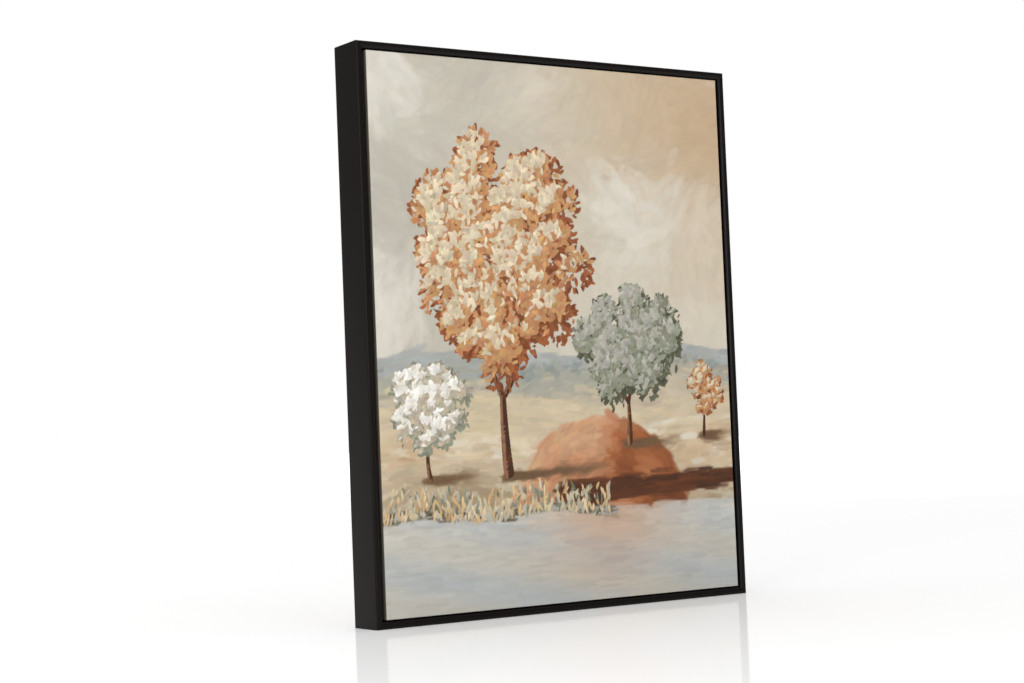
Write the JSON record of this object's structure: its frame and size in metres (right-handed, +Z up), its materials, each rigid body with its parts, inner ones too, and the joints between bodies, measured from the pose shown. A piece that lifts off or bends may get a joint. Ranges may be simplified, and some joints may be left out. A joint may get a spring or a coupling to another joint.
{
  "type": "framed canvas picture",
  "caption": "Upright canvas picture stretched on pine bars in a deep black floater frame with a narrow shadow gap, a sawtooth hanger and two wall bumpers at the back.",
  "frame": {"origin": "middle of the whole object's base: at the middle of its width and of its depth, bumpers included, on the surface it stands on", "axes": "+Z up, +X to the right of someone facing the picture, -Y out of the picture's face, +Y towards the wall"},
  "size_m": [0.427, 0.0428, 0.5242],
  "materials": {
    "frame_black": "satin black lacquer",
    "pine": "planed, unfinished",
    "printed_canvas": "matt printed cotton-polyester canvas",
    "zinc_steel": "zinc plated",
    "black_steel": "black phosphate",
    "brass": "brass plated",
    "grey_rubber": "matt"
  },
  "bodies": {
    "root": {"bumper_left": "grey_rubber", "bumper_right": "grey_rubber", "canvas": "printed_canvas", "frame_rail_bottom": "frame_black", "frame_rail_left": "frame_black", "frame_rail_right": "frame_black", "frame_rail_top": "frame_black", "frame_v_nail_bottom_left_inner": "zinc_steel", "frame_v_nail_bottom_left_outer": "zinc_steel", "frame_v_nail_bottom_right_inner": "zinc_steel", "frame_v_nail_bottom_right_outer": "zinc_steel", "frame_v_nail_top_left_inner": "zinc_steel", "frame_v_nail_top_left_outer": "zinc_steel", "frame_v_nail_top_right_inner": "zinc_steel", "frame_v_nail_top_right_outer": "zinc_steel", "hanger_nail_1": "brass", "hanger_nail_2": "brass", "sawtooth_hanger": "brass", "screw_bottom_1": "black_steel", "screw_bottom_2": "black_steel", "screw_left_1": "black_steel", "screw_left_2": "black_steel", "screw_right_1": "black_steel", "screw_right_2": "black_steel", "screw_top_1": "black_steel", "screw_top_2": "black_steel", "staple_bottom_1": "zinc_steel", "staple_bottom_2": "zinc_steel", "staple_bottom_3": "zinc_steel", "staple_bottom_4": "zinc_steel", "staple_bottom_5": "zinc_steel", "staple_left_1": "zinc_steel", "staple_left_2": "zinc_steel", "staple_left_3": "zinc_steel", "staple_left_4": "zinc_steel", "staple_left_5": "zinc_steel", "staple_left_6": "zinc_steel", "staple_left_7": "zinc_steel", "staple_right_1": "zinc_steel", "staple_right_2": "zinc_steel", "staple_right_3": "zinc_steel", "staple_right_4": "zinc_steel", "staple_right_5": "zinc_steel", "staple_right_6": "zinc_steel", "staple_right_7": "zinc_steel", "staple_top_1": "zinc_steel", "staple_top_2": "zinc_steel", "staple_top_3": "zinc_steel", "staple_top_4": "zinc_steel", "staple_top_5": "zinc_steel", "stretcher_bar_bottom": "pine", "stretcher_bar_left": "pine", "stretcher_bar_right": "pine", "stretcher_bar_top": "pine", "stretcher_v_nail_bottom_left": "zinc_steel", "stretcher_v_nail_bottom_right": "zinc_steel", "stretcher_v_nail_top_left": "zinc_steel", "stretcher_v_nail_top_right": "zinc_steel"}
  },
  "joints": []
}
